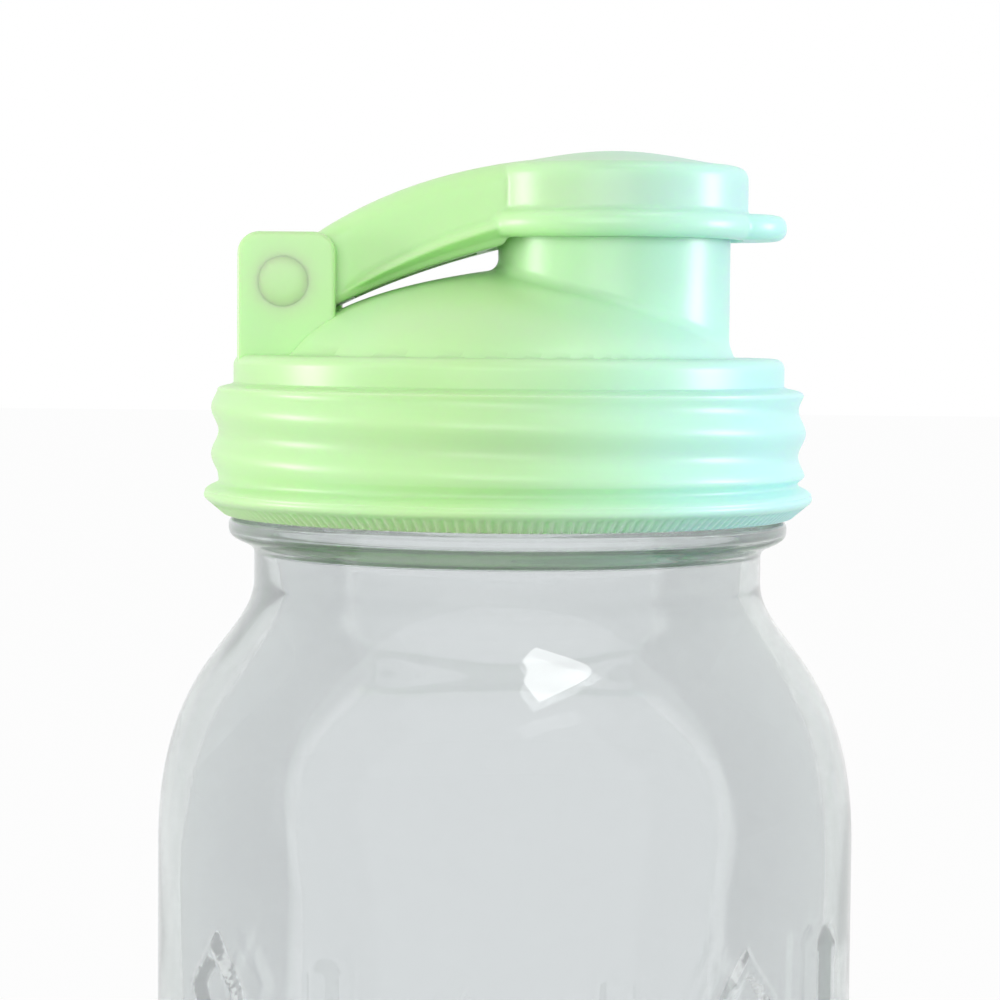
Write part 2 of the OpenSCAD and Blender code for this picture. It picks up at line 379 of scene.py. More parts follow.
@dataclass(frozen=True)
class MintPolypropylene:
    """Injection-moulded, milky mint polypropylene: soft gloss, light bleeding through thin walls, and a
    painted tint of cool light towards +X.
    """

    warm: str = "#c3ecab"
    # Cool mint for the random clouds, and also the painted tint of the cool light on the right side
    cool_and_right_light_tint: str = "#b9eef0"
    roughness: float = 0.34
    ior: float = 1.49
    grain_mm: float = 0.8
    cloud_mm: float = 22.0
    # Across X, where the painted tint of the right-side light begins and where it is full
    right_light_tint_from_mm: float = -12.0
    right_light_tint_to_mm: float = 46.0

    def build(self) -> bpy.types.Material:
        """Builds the material and returns it."""
        material, tree, output = new_material("moulded_mint_polypropylene")
        where = add_node(tree, "ShaderNodeTexCoord").outputs["Object"]
        across = add_node(tree, "ShaderNodeSeparateXYZ", {0: where}).outputs["X"]
        # Pigment that flowed out of the gate unevenly lies in clouds; the drift from warm to cool across the
        # lid, towards +X, is painted light: the cool tint of the light from the right side
        cloud = add_node(tree, "ShaderNodeTexNoise", {"Vector": where, "Scale": 1 / (self.cloud_mm * MM),
                                                      "Detail": 2.0, "Roughness": 0.45}).outputs["Fac"]
        right_light_tint = add_node(tree, "ShaderNodeMapRange", {"Value": across, "From Min": self.right_light_tint_from_mm * MM,
                                                      "From Max": self.right_light_tint_to_mm * MM},
                         interpolation_type="SMOOTHERSTEP").outputs["Result"]
        sway = add_node(tree, "ShaderNodeMath", {0: cloud, 1: 0.5}, operation="SUBTRACT").outputs[0]
        cloud_and_right_light_share = add_node(tree, "ShaderNodeMath", {0: sway, 1: 0.3, 2: right_light_tint}, operation="MULTIPLY_ADD",
                          use_clamp=True).outputs[0]
        # Base colour: the pigment's clouds plus the painted tint of the right-side light
        pigment_and_right_light_tint = add_node(tree, "ShaderNodeMix", {"Factor": cloud_and_right_light_share, 6: colour(self.warm),
                                                   7: colour(self.cool_and_right_light_tint)}, data_type="RGBA").outputs[2]
        # Fine unevenness of a polished mould, and faint dull patches from handling
        grain = add_node(tree, "ShaderNodeTexNoise", {"Vector": where, "Scale": 1 / (self.grain_mm * MM),
                                                      "Detail": 3.0}).outputs["Fac"]
        relief = add_node(tree, "ShaderNodeBump", {"Height": grain, "Strength": 0.06,
                                                   "Distance": 0.05 * MM}).outputs["Normal"]
        dull = add_node(tree, "ShaderNodeMapRange", {"Value": cloud, "To Min": self.roughness - 0.05,
                                                     "To Max": self.roughness + 0.08}).outputs["Result"]
        surface = add_node(tree, "ShaderNodeBsdfPrincipled", {
            "Base Color": pigment_and_right_light_tint, "Roughness": dull, "IOR": self.ior, "Normal": relief,
            "Subsurface Weight": 0.6, "Subsurface Radius": (0.55, 1.0, 0.45), "Subsurface Scale": 3.2 * MM})
        tree.links.new(surface.outputs[0], output.inputs["Surface"])
        return material


@dataclass(frozen=True)
class SodaLimeGlass:
    """Machine-blown soda-lime glass: clear, faintly grey-green in thick places, slightly wavy."""

    tint: str = "#edeff0"
    haze: str = "#f0f1f2"
    straight_share: float = 0.22
    depth_tint: str = "#dcefe4"
    depth_density: float = 14.0
    ior: float = 1.52
    wave_mm: float = 16.0

    def build(self) -> bpy.types.Material:
        """Builds the material and returns it."""
        material, tree, output = new_material("blown_soda_lime_glass")
        where = add_node(tree, "ShaderNodeTexCoord").outputs["Object"]
        # Slow waves that the blow mould leaves; they bend what is seen through the wall
        waves = add_node(tree, "ShaderNodeTexNoise", {"Vector": where, "Scale": 1 / (self.wave_mm * MM),
                                                      "Detail": 1.0}).outputs["Fac"]
        relief = add_node(tree, "ShaderNodeBump", {"Height": waves, "Strength": 0.2,
                                                   "Distance": 0.6 * MM}).outputs["Normal"]
        surface = add_node(tree, "ShaderNodeBsdfPrincipled", {
            "Base Color": colour(self.tint), "Roughness": 0.015, "IOR": self.ior, "Normal": relief,
            "Transmission Weight": 1.0})
        depth = add_node(tree, "ShaderNodeVolumeAbsorption", {"Color": colour(self.depth_tint),
                                                             "Density": self.depth_density})
        # Thin walls bend light little, so part of it goes straight on
        straight = add_node(tree, "ShaderNodeBsdfTransparent", {"Color": colour(self.haze)}).outputs[0]
        wall = add_node(tree, "ShaderNodeMixShader", {0: self.straight_share, 1: surface.outputs[0],
                                                      2: straight}).outputs[0]
        tree.links.new(wall, output.inputs["Surface"])
        tree.links.new(depth.outputs[0], output.inputs["Volume"])
        return material


@dataclass(frozen=True)
class MouldedSilicone:
    """Soft white silicone rubber: matt, slightly translucent, dusty."""

    body: str = "#f0f0ea"
    roughness: float = 0.55
    dust_mm: float = 0.5

    def build(self) -> bpy.types.Material:
        """Builds the material and returns it."""
        material, tree, output = new_material("moulded_white_silicone")
        where = add_node(tree, "ShaderNodeTexCoord").outputs["Object"]
        dust = add_node(tree, "ShaderNodeTexNoise", {"Vector": where, "Scale": 1 / (self.dust_mm * MM),
                                                     "Detail": 2.0}).outputs["Fac"]
        dull = add_node(tree, "ShaderNodeMapRange", {"Value": dust, "To Min": self.roughness - 0.08,
                                                     "To Max": self.roughness + 0.1}).outputs["Result"]
        surface = add_node(tree, "ShaderNodeBsdfPrincipled", {
            "Base Color": colour(self.body), "Roughness": dull, "IOR": 1.41, "Subsurface Weight": 0.3,
            "Subsurface Radius": (1.0, 0.9, 0.8), "Subsurface Scale": 1.5 * MM})
        tree.links.new(surface.outputs[0], output.inputs["Surface"])
        return material


@dataclass(frozen=True)
class WhiteSweep:
    """Matt white studio floor that goes on into a white background."""

    paper: str = "#f4f4f4"
    glow: float = 0.96

    def build(self) -> bpy.types.Material:
        """Builds the material and returns it."""
        material, tree, output = new_material("matt_white_studio_floor")
        matt = add_node(tree, "ShaderNodeBsdfDiffuse", {"Color": colour(self.paper)}).outputs[0]
        white = add_node(tree, "ShaderNodeEmission", {"Strength": 1.0}).outputs[0]
        share = add_node(tree, "ShaderNodeMath", {0: seen_directly(tree), 1: self.glow},
                         operation="MULTIPLY").outputs[0]
        mixed = add_node(tree, "ShaderNodeMixShader", {0: share, 1: matt, 2: white}).outputs[0]
        tree.links.new(mixed, output.inputs["Surface"])
        return material


def seen_directly(tree: bpy.types.NodeTree) -> bpy.types.NodeSocket:
    """Gives 1 for what is seen straight, in a reflection or through glass, and 0 for lighting.

    Args:
        tree: the node tree to add to.

    Returns:
        The socket with the result.
    """
    path = add_node(tree, "ShaderNodeLightPath").outputs
    either = add_node(tree, "ShaderNodeMath", {0: path["Is Camera Ray"], 1: path["Is Glossy Ray"]},
                      operation="MAXIMUM").outputs[0]
    return add_node(tree, "ShaderNodeMath", {0: either, 1: path["Is Transmission Ray"]},
                    operation="MAXIMUM").outputs[0]


# ---------------------------------------------------------------- the pieces


def dress(obj: bpy.types.Object, material: bpy.types.Material, body: Body, slot: Slot, *nodes: str) -> None:
    """Gives a piece its material, hangs it on its body's empty, and hides the construction nodes that it
    stands for.

    Args:
        obj: the piece.
        material: its material.
        body: the body that it moves with.
        slot: the record's material slot; not used.
        nodes: the construction nodes that it stands for.
    """
    obj.data.materials.clear()
    obj.data.materials.append(material)
    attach(obj, body.value)
    if nodes:
        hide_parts(*nodes)
    LOG.info("%s: %d faces on %s", obj.name, len(obj.data.polygons), body.value)


@dataclass
class Jar:
    """The blown glass jar, in millimetres above its base."""

    height: float
    body_r: float
    wall: float = 3.0
    base: float = 6.0
    heel_r: float = 9.0
    pushup: float = 2.5
    finish_r: float = 33.2
    neck_r: float = 32.4
    neck_wall: float = 3.2
    ring_r: float = 35.65
    ring_drop: float = 17.7
    ring_h: float = 3.7
    thread_h: float = 1.5
    thread_w: float = 2.4
    thread_drop: float = 13.5
    thread_turns: float = 1.35
    pitch: float = 6.35
    emblem_top: float = 105.8
    emblem_h: float = 13.0
    emblem_raise: float = 0.9
    inside_waves: Sequence[tuple[float, int, float, float]] = (
        (0.16, 2, 0.043, 0.0), (0.1, 3, -0.09, 1.0), (0.07, 5, 0.13, 2.0))
    emblems: int = 16
    emblem_span: float = 67.5
    around: int = 512

    def shoulder(self, inner: bool) -> list[tuple[float, float]]:
        """Samples the shoulder's curve from the body up to the neck.

        Args:
            inner: True for the inside of the wall.

        Returns:
            Points of radius and height.
        """
        low = self.height - 59.0
        neck = self.height - 25.5
        if inner:
            wide = self.body_r - self.wall
            narrow = self.neck_r - self.neck_wall + 0.2
            return bezier([(wide, low), (wide, low + 22), (narrow, neck - 10), (narrow, neck - 1)], 44)
        return bezier([(self.body_r, low), (self.body_r, low + 23.5), (self.neck_r + 0.2, neck - 8),
                       (self.neck_r, neck)], 44)

    def profile(self) -> tuple[np.ndarray, int]:
        """Works out the jar's whole section.

        Returns:
            Rows of radius and height from under the base, over the rim, to the inside floor, and the
            number of the first row inside.
        """
        ring_z = self.height - self.ring_drop
        rest_r = self.body_r - self.heel_r
        mouth_r = self.finish_r - self.neck_wall
        lip = 1.1
        outer = [(0, self.pushup), (rest_r - 9, self.pushup * 0.8), (rest_r - 4, 0.9), (rest_r - 2.6, 0.15),
                 (rest_r - 2, 0)]
        outer += arc(rest_r, self.heel_r, self.heel_r, -90, 0, 16)
        outer += self.shoulder(False)
        ring_low = ring_z - self.ring_h
        outer += bezier([(self.neck_r, ring_low - 0.6), (self.neck_r + 0.1, ring_low + 0.9),
                         (self.ring_r - 0.1, ring_z - 2.9), (self.ring_r, ring_z - 1.4)], 12)
        outer += arc(self.ring_r - 0.6, ring_z - 0.6, 0.6, 0, 90, 5)
        outer += [(self.finish_r + 0.4, ring_z + 0.5), (self.finish_r, ring_z + 1)]
        outer += arc(self.finish_r - lip, self.height - lip, lip, 0, 90, 6)
        inner = arc(mouth_r + lip, self.height - lip, lip, 90, 180, 6)
        inner += [(mouth_r, ring_z + 2)]
        inner += self.shoulder(True)[::-1]
        round_r = self.heel_r - 1
        inner += arc(self.body_r - self.wall - round_r, self.base + round_r, round_r, 0, -90, 14)
        inner += [(self.body_r * 0.4, self.base + 0.6), (0, self.base + 1.5)]
        fine = refine(outer, 0.8)
        return np.vstack([fine, refine(inner, 2.0)]), len(fine)

    def thread(self, angles: np.ndarray, height: float) -> np.ndarray:
        """Gives how far the screw thread stands out at one height.

        Args:
            angles: the angles round the neck, in radians.
            height: the height to look at.

        Returns:
            The raise at each angle, in millimetres.
        """
        low = self.height - self.thread_drop
        raised = np.zeros_like(angles)
        for turn in range(math.ceil(self.thread_turns) + 1):
            run = angles / math.tau + turn
            off = np.abs(height - low - self.pitch * run)
            ends = np.minimum(run, self.thread_turns - run) * 15
            ridge = 1 - smooth_step(self.thread_w * 0.22, self.thread_w * 0.5, off)
            raised = np.maximum(raised, self.thread_h * ridge * np.clip(ends, 0, 1))
        return raised

    def emblem(self, angles: np.ndarray, height: float) -> np.ndarray:
        """Gives how far the moulded band of plain diamonds and bars stands out at one height.

        Args:
            angles: the angles round the body, in radians.
            height: the height to look at.

        Returns:
            The raise at each angle, in millimetres.
        """
        up = height - self.emblem_top + self.emblem_h / 2
        if abs(up) > self.emblem_h / 2 + 1:
            return np.zeros_like(angles)
        step = math.tau / self.emblems
        which = np.round((angles + step / 4) / step)
        across = np.abs((angles + step / 4 - which * step) * self.body_r)
        half = self.emblem_h / 2
        diamond = np.abs(across / 5.2 + abs(up) / half - 0.82) * 4.2
        bar = np.maximum(across - 0.9, 0.0) + max(0.0, abs(up) - half + 1.4) * 1.2
        stroke = np.where(which % 2 == 0, diamond, bar)
        front = np.cos(angles + math.pi / 2) > math.cos(math.radians(self.emblem_span))
        return self.emblem_raise * (1 - smooth_step(0.35, 1.25, stroke)) * front

    def build(self, finish: SodaLimeGlass) -> bpy.types.Object:
        """Builds the jar and dresses it.

        Args:
            finish: the glass.

        Returns:
            The jar.
        """
        profile, first_inside = self.profile()
        angles = np.arange(self.around) * math.tau / self.around
        ring_z = self.height - self.ring_drop

        def grow(turn: np.ndarray, radius: float, height: float, row: int) -> np.ndarray:
            """Adds the thread, the band and the uneven inside wall."""
            if row >= first_inside:
                calm = smooth_step(self.base + 8, self.base + 30, height)
                calm = calm * smooth_step(0, 12, self.height - height)
                return calm * sum(deep * np.sin(lobes * turn + height * lean + shift)
                                  for deep, lobes, lean, shift in self.inside_waves)
            if height > ring_z + 1.2:
                return self.thread(turn, height)
            return self.emblem(turn, height) if radius > self.body_r - 0.5 else np.zeros_like(turn)

        jar = loft("glass_jar_blown", revolve_rings(profile, angles, grow))
        dress(jar, finish.build(), Body.JAR, Slot.GLASS, "glass_jar")
        return jar


@dataclass
class ScrewLid:
    """The moulded screw lid with its dome, spout and hinge ears, in millimetres from its ledge."""

    ledge_z: float
    band_r: float = 35.1
    band_h: float = 3.5
    wall_r: float = 35.15
    band_in_r: float = 33.6
    rib_top: float = -3.9
    rib_low: float = -15.7
    rib_r: float = 37.45
    rib_wave: float = 0.47
    rib_gap: float = 5.85
    rib_left: float = -6.6
    hem_r: float = 38.8
    skirt_h: float = 20.2
    hem_rise: float = 2.2
    ledge_t: float = 2.0
    shell: float = 1.7
    dome_r: float = 28.7
    dome_h: float = 11.3
    spout_r: float = 14.8
    spout_x: float = 13.3
    spout_h: float = 20.2
    fillet: float = 1.3
    ear_out: float = 34.0
    ear_in: float = 21.8
    ear_h: float = 15.4
    ear_gap: float = 12.0
    ear_t: float = 3.0
    ear_round: float = 2.7
    hinge_x: float = 28.3
    hinge_z: float = 9.2
    pin_r: float = 3.1
    band_edge: float = 1.3
    lip_round: float = 0.85
    thread_low: float = -18.55
    thread_h: float = 1.5
    thread_w: float = 2.4
    thread_pitch: float = 6.35
    thread_from: float = 0.1
    thread_to: float = 1.2
    skirt_step: float = 0.32
    teeth: int = 192
    tooth_depth: float = 0.42
    points_a_tooth: int = 4

    def dome(self, shrink: float) -> list[tuple[float, float]]:
        """Samples the dome's section, moved inwards by shrink."""
        return bezier([(self.dome_r - shrink, 0), (self.dome_r - 3.4 - shrink, 5.9 - shrink),
                       (self.dome_r - 14 - shrink, self.dome_h - 1.9 - shrink),
                       (0, self.dome_h - shrink)], 60)

    def top_patch(self, angles: np.ndarray, outer_r: float, hole_r: float, height: Callable,
                  fillet: float) -> Rings:
        """Spreads rings from the spout's wall out to a circle round the lid's axis.

        Args:
            angles: the angles of the outer circle's points.
            outer_r: radius of the outer circle.
            hole_r: radius of the spout's wall.
            height: the surface's height at a distance from the lid's axis.
            fillet: radius of the fillet at the spout's wall, or 0 for none.

        Returns:
            The rings, from the wall outwards.
        """
        edge = outer_r * np.column_stack([np.cos(angles), np.sin(angles)])
        spoke = edge - (self.spout_x, 0)
        reach = np.linalg.norm(spoke, axis=1)
        spoke /= reach[:, None]
        near = [fillet * (1 - math.cos(a)) for a in np.linspace(0, math.pi / 2, 7)] if fillet else [0.0]
        far = np.linspace(0, 1, 44)[1:] ** 1.15
        offs = [np.full_like(reach, d) for d in near]
        offs += [near[-1] + s * (reach - hole_r - near[-1]) for s in far]
        rings = []
        for off in offs:
            flat = np.array([self.spout_x, 0]) + spoke * (hole_r + off)[:, None]
            z = height(np.hypot(flat[:, 0], flat[:, 1]))
            if fillet:
                left = np.clip(fillet - off, 0, fillet)
                z = z + fillet - np.sqrt(np.maximum(fillet ** 2 - left ** 2, 0))
            rings.append(np.column_stack([flat, z]))
        return rings

    def spout_ring(self, like: np.ndarray, radius: float, height: float) -> np.ndarray:
        """Makes a level ring round the spout's axis, in the directions of another ring's points."""
        away = like[:, :2] - (self.spout_x, 0)
        away = away / np.linalg.norm(away, axis=1)[:, None] * radius
        return np.column_stack([away + (self.spout_x, 0), np.full(len(like), height)])

    def skirt_radius(self, angles: np.ndarray, z: float, plain: float) -> np.ndarray:
        """Gives the skirt's outer radius, whose ribs wind round the lid as a screw does.

        Args:
            angles: the angles round the lid.
            z: height from the ledge.
            plain: the radius where no rib is.

        Returns:
            The radius at each angle.
        """
        if not self.rib_low < z < self.rib_top:
            return np.full_like(angles, plain)
        turn = ((angles - math.pi) % math.tau) / math.tau
        crest = self.rib_left - self.rib_gap * turn
        waves = self.rib_r + self.rib_wave * np.cos(math.tau * (z - crest) / self.rib_gap)
        hold = smooth_step(self.rib_low, self.rib_low + 1.0, z) * smooth_step(0, 0.9, self.rib_top - z)
        return plain + (waves - plain) * hold

    def skirt(self, angles: np.ndarray) -> Rings:
        """Builds the outside of the skirt from the ledge down to the hem's lower edge.

        Args:
            angles: the angles of each ring's points.

        Returns:
            The rings, from the top down.
        """
        hem_z = self.hem_rise - self.skirt_h
        edge, rib_r = self.band_edge, self.rib_r
        outline = arc(self.band_r - edge, -edge, edge, 90, 0, 8)
        outline += [(self.band_r, -self.band_h)]
        outline += bezier([(self.band_r, -self.band_h), (self.band_r + 0.2, -self.band_h - 0.4),
                           (rib_r - 0.8, -self.band_h - 0.3), (rib_r - 0.3, self.rib_top - 0.4)], 6)[1:]
        outline += [(rib_r - 0.3, self.rib_top - 1), (rib_r - 0.3, self.rib_low + 1),
                    (rib_r - 0.5, self.rib_low)]
        outline += bezier([(rib_r - 0.5, self.rib_low), (rib_r - 0.6, hem_z + 1.6),
                           (self.hem_r - 0.9, hem_z + 1.7), (self.hem_r - 0.1, hem_z + 0.9)], 8)[1:]
        outline += arc(self.hem_r - 0.7, hem_z + 0.3, 0.7, 35, -60, 8)
        bevel = (self.band_r + 1.3, -self.skirt_h + 0.15)
        first_tooth = len(refine(outline, self.skirt_step))
        outline += [bevel, (bevel[0] - 0.4, -self.skirt_h)]
        tooth = np.where(np.arange(len(angles)) % self.points_a_tooth < self.points_a_tooth / 2, 0.0, 1.0)
        rings = []
        fine = refine(outline, self.skirt_step)
        for row, (radius, z) in enumerate(fine):
            r = self.skirt_radius(angles, z, radius)
            if first_tooth < row < len(fine) - 2:
                r = r - self.tooth_depth * tooth
            rings.append(np.column_stack([r * np.cos(angles), r * np.sin(angles), np.full_like(angles, z)]))
        return rings

    def inside(self, angles: np.ndarray) -> Rings:
        """Builds the inside of the skirt, with its thread, from the hem up to the ledge's underside.

        Args:
            angles: the angles of each ring's points.

        Returns:
            The rings, from the bottom up.
        """
        outline = [(self.wall_r + 0.25, -self.skirt_h), (self.wall_r, -self.skirt_h + 0.3),
                   (self.wall_r, -self.band_h - 2), (self.band_in_r, -self.band_h - 0.5),
                   (self.band_in_r, -self.ledge_t - 0.25), (self.band_in_r - 0.25, -self.ledge_t)]
        def grow(turn: np.ndarray, radius: float, z: float, row: int) -> np.ndarray:
            """Takes the lid's thread off the inside radius."""
            raised = np.zeros_like(turn)
            for lap in range(3):
                run = turn / math.tau + lap
                off = np.abs(z - self.thread_low - self.thread_pitch * run)
                ends = np.clip(np.minimum(run - self.thread_from, self.thread_to - run) * 15, 0, 1)
                ridge = 1 - smooth_step(self.thread_w * 0.22, self.thread_w * 0.5, off)
                raised = np.maximum(raised, self.thread_h * ends * ridge)
            return -raised

        return revolve_rings(refine(outline, 0.4), angles, grow)

    def cavity(self) -> bpy.types.Object:
        """Builds the lid's hollow, a little too large, to trim the ears with."""
        into = 0.7
        wall_r, band_r, roof = self.wall_r + into, self.band_in_r + into, -self.ledge_t + into
        outline = [(0, -self.skirt_h - 2), (wall_r, -self.skirt_h - 2),
                   (wall_r, -self.band_h - 2 + into), (band_r, -self.band_h - 0.5 + into),
                   (band_r, roof), (self.dome_r - self.shell + into - 0.2, roof)]
        outline += [(r, z) for r, z in self.dome(self.shell - into) if z > roof]
        angles = np.arange(96) * math.tau / 96
        rings = revolve_rings(np.array(outline), angles)
        for ring in rings:
            ring[:, 2] += self.ledge_z
        return loft("lid_hollow", rings)

    def ear(self, side: int) -> bpy.types.Object:
        """Builds one hinge ear, a rounded plate that stands up from the ledge.

        Args:
            side: 1 for the ear at +Y and -1 for the other.

        Returns:
            The ear.
        """
        low = -self.band_h - 1.8
        r = self.ear_round
        outline = [(-self.ear_out, low), (-self.ear_in, low)]
        outline += arc(-self.ear_in - r, self.ear_h - r, r, 0, 90, 10)
        outline += arc(-self.ear_out + r, self.ear_h - r, r, 90, 180, 10)
        half = self.ear_t / 2
        plate = slab(f"ear_{side}", close_and_refine(outline), -half, half, 0.5)
        stand = Matrix.Rotation(math.pi / 2, 4, "X")
        place = Matrix.Translation(Vector((0, side * (self.ear_gap + self.ear_t) / 2, self.ledge_z)) * MM)
        plate.data.transform(place @ stand)
        return plate

    def pin_hole(self, radius: float) -> bpy.types.Object:
        """Builds a rod along the hinge axis that is longer than the ears are apart."""
        half = self.ear_gap / 2 + self.ear_t + 2
        rod = loft("rod", revolve_rings(np.array([(0, -half), (radius, -half), (radius, half), (0, half)]),
                                        np.arange(96) * math.tau / 96))
        rod.data.transform(self.to_hinge())
        return rod

    def to_hinge(self) -> Matrix:
        """Gives the move that lays a shape from the Z axis along the hinge axis."""
        at = Vector((-self.hinge_x, 0, self.ledge_z + self.hinge_z)) * MM
        return Matrix.Translation(at) @ Matrix.Rotation(math.pi / 2, 4, "X")

    def shell_mesh(self) -> bpy.types.Object:
        """Builds skirt, ledge, dome and spout as one closed skin."""
        count = self.teeth * self.points_a_tooth
        angles = np.arange(count) * math.tau / count
        over = curve_height(self.dome(0) + [(self.dome_r + 0.4, 0), (60, 0)])
        under = curve_height([(r, z) for r, z in self.dome(self.shell)]
                             + [(self.dome_r - self.shell + 0.15, -self.ledge_t), (60, -self.ledge_t)])
        top = self.top_patch(angles, self.band_r - self.band_edge, self.spout_r, over, self.fillet)
        below = self.top_patch(angles, self.band_in_r - 0.3, self.spout_r - self.shell, under, 0)
        bore_r = self.spout_r - self.shell
        mid_r = (bore_r + self.spout_r) / 2
        curl = self.lip_round
        lip = [self.spout_ring(top[0], mid_r + curl * x, self.spout_h - curl + z)
               for x, z in arc(0, 0, curl, 180, 0, 10)]
        neck_top = self.spout_h - 1.2
        down = [self.spout_ring(top[0], self.spout_r, z) for z in np.linspace(neck_top, self.dome_h + 2, 6)]
        up = [self.spout_ring(below[0], bore_r, z) for z in np.linspace(self.dome_h, neck_top, 6)]
        rings = down + top + self.skirt(angles)[1:] + self.inside(angles) + below[::-1] + up + lip
        for ring in rings:
            ring[:, 2] += self.ledge_z
        return loft("lid_moulded", rings[::-1], closed=True)

    def build(self, material: bpy.types.Material) -> bpy.types.Object:
        """Builds the lid and dresses it.

        Args:
            material: the plastic.

        Returns:
            The lid.
        """
        lid = self.shell_mesh()
        for side in (-1, 1):
            ear = self.ear(side)
            combine(ear, self.cavity(), Join.CUT)
            combine(lid, ear, Join.ADD)
        combine(lid, self.pin_hole(self.pin_r + 0.02), Join.CUT)
        shade(lid, LID_CREASE)
        dress(lid, material, Body.LID, Slot.PLASTIC, "lid_body")
        return lid

    def build_pin(self, material: bpy.types.Material) -> bpy.types.Object:
        """Builds the hinge pin, whose shallow domed ends show in the ears.

        Args:
            material: the plastic.

        Returns:
            The pin.
        """
        half = self.ear_gap / 2 + self.ear_t + 0.3
        snug = self.pin_r + 0.019
        end = [(0, half), (1.6, half - 0.03), (2.4, half - 0.1), (snug - 0.3, half - 0.22),
               (snug, half - 0.28)]
        outline = [(r, -z) for r, z in end] + end[::-1]
        pin = loft("hinge_pin_moulded", revolve_rings(refine(outline, 2.0), np.arange(96) * math.tau / 96))
        pin.data.transform(self.to_hinge())
        dress(pin, material, Body.LID, Slot.PLASTIC, "hinge_pin")
        return pin


@dataclass
class FlipCap:
    """The flip cap with its arm and thumb tab, in millimetres from the lid's ledge."""

    lid: ScrewLid
    seal_top: float
    cap_r: float = 17.0
    side_z: float = 24.2
    top_z: float = 26.2
    edge_z: float = 14.9
    wall: float = 1.1
    flange_t: float = 3.3
    bead: float = 1.45
    flange_out: float = 1.4
    tab_reach: float = 22.0
    tab_w: float = 17.0
    arm_half: float = 11.0
    arm_end: float = 3.0
    side_gap: float = 0.3
    swing_gap: float = 1.4
    knuckle_wall: float = 1.9
    channel_wall: float = 1.9
    arm_taper: float = 2.2
    skin_cell: float = 0.26
    skin_rounds: int = 6

    def disc(self) -> bpy.types.Object:
        """Builds the round cap with its domed top and rim flange, solid."""
        r, flange = self.cap_r, self.cap_r + self.flange_out
        bead = self.bead
        outline = [(0, self.edge_z)]
        outline += arc(flange - bead, self.edge_z + bead, bead, -90, 0, 6)
        outline += arc(flange - bead, self.edge_z + self.flange_t - bead, bead, 0, 90, 6)
        outline += [(r, self.edge_z + self.flange_t)]
        outline += arc(r - 1.5, self.side_z - 1.5, 1.5, 0, 84, 8)
        crown = self.top_z - self.side_z
        outline += [(lerp(r - 1.5, 0, t), self.side_z + crown * math.sin(math.pi / 2 * t) ** 1.3)
                    for t in np.linspace(0.06, 1, 14)]
        disc = loft("disc", revolve_rings(np.array(outline), np.arange(256) * math.tau / 256))
        disc.data.transform(Matrix.Translation(Vector((self.lid.spout_x, 0, 0)) * MM))
        return disc

    def tab(self) -> bpy.types.Object:
        """Builds the thumb tab, a plate with a round end."""
        half = self.tab_w / 2
        far = self.lid.spout_x + self.tab_reach - half
        outline = [(self.lid.spout_x, -half)] + arc(far, 0, half, -90, 90, 40) + [(self.lid.spout_x, half)]
        return slab("tab", close_and_refine(outline), self.edge_z, self.edge_z + self.flange_t, self.bead)

    def arm_curves(self) -> tuple[Callable, Callable, Callable, Callable]:
        """Gives the arm's top, the top of its lower flange, its underside and its half width along X."""
        start = -self.lid.hinge_x + 2.3
        z = self.lid.hinge_z
        top = bezier([(start, z + 5.2), (-14, self.side_z - 1.2), (self.arm_end, self.side_z + 0.4)], 60)
        band = bezier([(start, z - 4.2), (-14, 14.5), (self.arm_end, self.edge_z + self.flange_t)], 60)
        under = bezier([(start, z - 5.0), (-13.5, 11.2), (self.arm_end, self.edge_z)], 60)
        root = self.lid.ear_gap / 2 - self.side_gap
        ear_end = -self.lid.ear_in + self.swing_gap
        half = [(-60, root)] + bezier([(ear_end, root), (ear_end + 6, root + 1),
                                       (self.lid.spout_x - self.cap_r * 0.6, self.arm_half)], 30)
        return tuple(curve_height(line) for line in (top, band, under, half))

    def arm(self) -> bpy.types.Object:
        """Builds the arm: a soft-edged wall over a wider lower flange, lofted from hinge to cap."""
        top, band, under, half = self.arm_curves()
        rings = []
        for x in np.linspace(-self.lid.hinge_x + 0.5, self.arm_end + 1.5, 60):
            zt, zf, zb, w = (float(curve(x)) for curve in (top, band, under, half))
            grow = float(smooth_step(-22, -16, x))
            wf = w + (self.flange_out - 0.2) * grow
            soft = min(2.6, w - 1, (zt - zf) * 0.45)
            edge = min(1.2, (zf - zb) * 0.45)
            side = [(0, zt + 0.25)] + arc(w - soft, zt - soft, soft, 84, 0, 10)
            side += [(w, zf + 0.35), (w + 0.1 * grow, zf + 0.05)]
            side += arc(wf - edge, zf - edge, edge, 80, 0, 5)
            side += arc(wf - edge - self.arm_taper * grow, zb + edge, edge, -20, -90, 5)
            loop = side + [(-y, z) for y, z in side[::-1] if y > 1e-6]
            rings.append(np.array([(x, y, z) for y, z in loop]))
        return loft("arm", rings[::-1])

    def knuckle(self) -> bpy.types.Object:
        """Builds the round knuckle between the ears."""
        half = self.lid.ear_gap / 2 - self.side_gap
        r = self.lid.pin_r + self.knuckle_wall
        edge = 0.4
        outline = [(0, -half)] + arc(r - edge, -half + edge, edge, -90, 0, 4)
        outline += arc(r - edge, half - edge, edge, 0, 90, 4)
        rod = loft("knuckle", revolve_rings(np.array(outline + [(0, half)]), np.arange(96) * math.tau / 96))
        turn = Matrix.Rotation(math.pi / 2, 4, "X")
        rod.data.transform(Matrix.Translation(Vector((-self.lid.hinge_x, 0, self.lid.hinge_z)) * MM) @ turn)
        return rod

